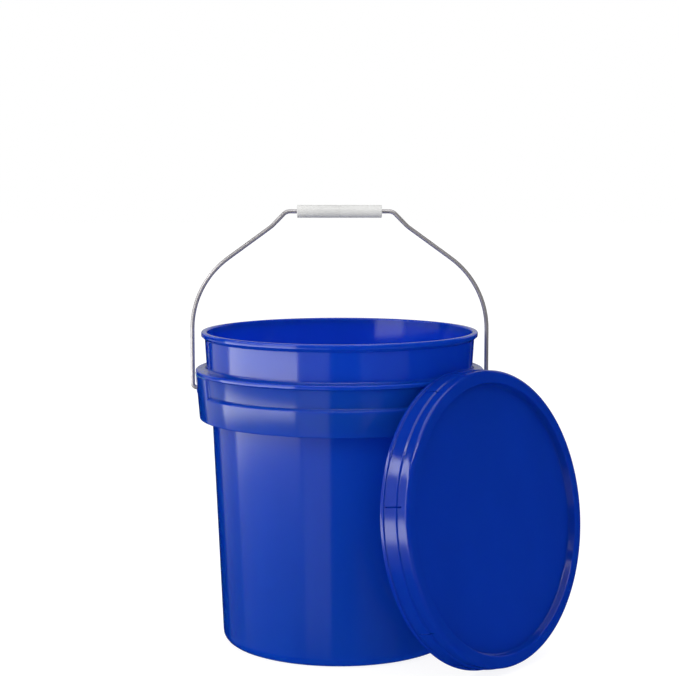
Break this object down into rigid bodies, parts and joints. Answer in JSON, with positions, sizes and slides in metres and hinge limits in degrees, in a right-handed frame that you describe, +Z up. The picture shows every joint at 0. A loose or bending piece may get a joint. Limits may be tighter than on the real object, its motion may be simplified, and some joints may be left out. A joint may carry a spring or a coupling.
{
  "type": "fermenting bucket",
  "caption": "Tall round pail with a beaded rim, hollow collar and swinging wire bail with a grip, and a snap-fit gasketed lid leaning against it.",
  "frame": {"origin": "where the pail's axis meets the floor, in the plane of the foot ring", "axes": "+Z up the pail's axis to its mouth; X along the bail's pivot axis, +X to the side the lid leans on; -Y to the viewer"},
  "size_m": [0.4279, 0.4004, 0.4787],
  "materials": {
    "pail_plastic": "glossy moulded polyethylene, deep blue",
    "lid_plastic": "glossy moulded polyethylene, deep blue",
    "bail_wire": "drawn zinc-plated wire",
    "grip_plastic": "satin white plastic",
    "gasket_rubber": "soft grey seal"
  },
  "bodies": {
    "bucket": {"bucket": "pail_plastic"},
    "bail": {"bail": "bail_wire"},
    "grip": {"grip": "grip_plastic"},
    "lid": {"lid": "lid_plastic", "gasket": "gasket_rubber"}
  },
  "joints": [
    {"name": "bail_swing", "type": "hinge", "parent": "bucket", "child": "bail", "pos_m": [0, 0, 0.279], "axis": [1, 0, 0], "range_deg": [-128, 60]},
    {"name": "grip_spin", "type": "hinge", "parent": "bail", "child": "grip", "pos_m": [0, 0, 0.4718], "axis": [1, 0, 0], "continuous": true},
    {"name": "lid_lift", "type": "slide", "parent": "bucket", "child": "lid", "axis": [0.7576, -0.6357, 0.1478], "range_m": [0, 0.3]}
  ]
}
